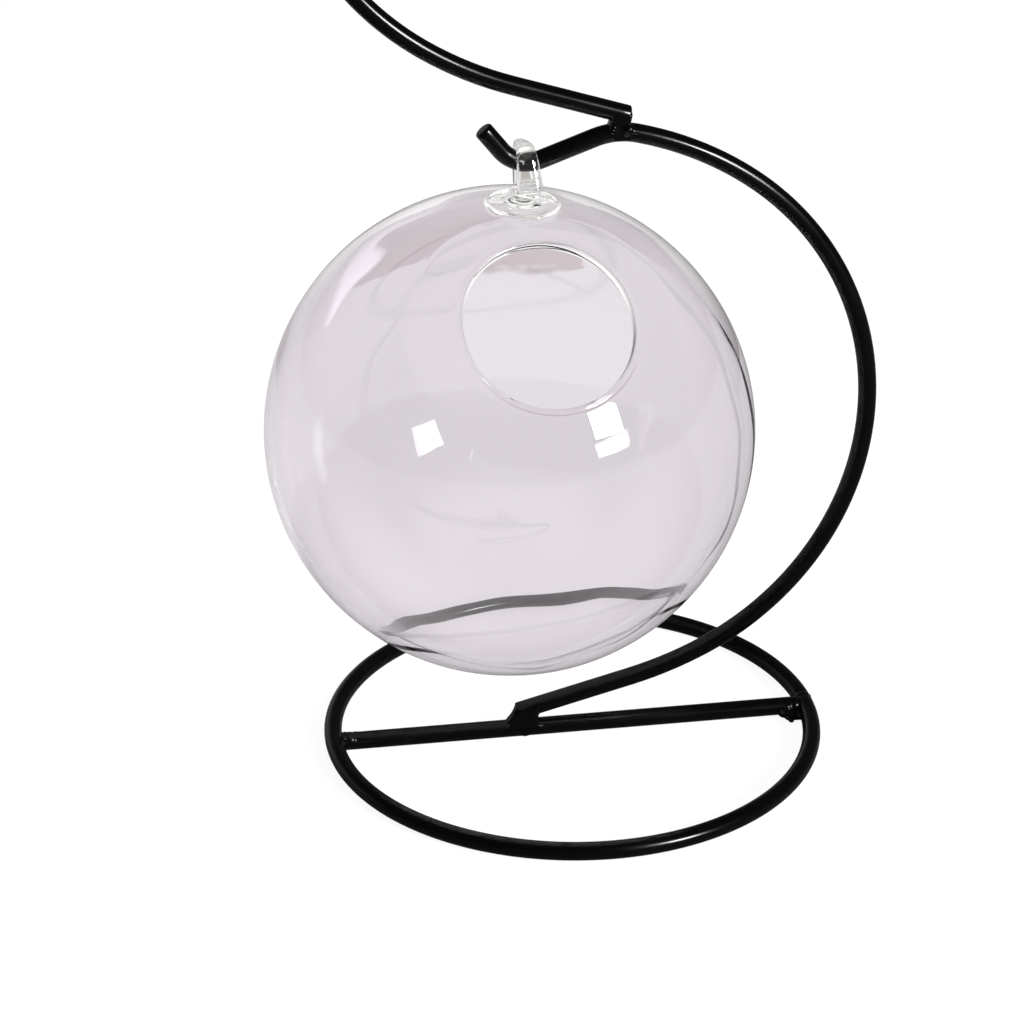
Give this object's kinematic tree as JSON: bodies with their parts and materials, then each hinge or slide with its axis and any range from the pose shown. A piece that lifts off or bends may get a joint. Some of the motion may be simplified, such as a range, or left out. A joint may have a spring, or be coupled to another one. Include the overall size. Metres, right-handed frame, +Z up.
{
  "type": "hanging glass ball vase",
  "caption": "Clear glass ball vase with a round mouth in its side, hung by a glass loop from the hook of a bent rod stand on a ring base.",
  "frame": {"origin": "middle of the base ring, on the table under it", "axes": "+Z up; +X along the cross bar towards the side that the stem rises on; -Y towards the viewer that the ball's mouth faces"},
  "size_m": [0.1525, 0.1274, 0.321],
  "materials": {
    "stand_paint": "gloss black paint over steel rod",
    "clear_glass": "clear blown glass with a faint lilac grey cast, fire polished"
  },
  "bodies": {
    "stand": {"base_ring": "stand_paint", "cross_bar": "stand_paint", "ring_closing_weld": "stand_paint", "bar_weld_left": "stand_paint", "bar_weld_right": "stand_paint", "stem_rod": "stand_paint", "stem_foot_weld": "stand_paint", "upper_arm_rod": "stand_paint", "arm_weld": "stand_paint"},
    "glass": {"glass_ball": "clear_glass", "loop_pad": "clear_glass", "hanging_loop": "clear_glass"}
  },
  "joints": [
    {"name": "ball_swing", "type": "hinge", "parent": "stand", "child": "glass", "pos_m": [-0.01199, 0, 0.15581], "axis": [1, 0, 0], "range_deg": [-40, 40]}
  ]
}
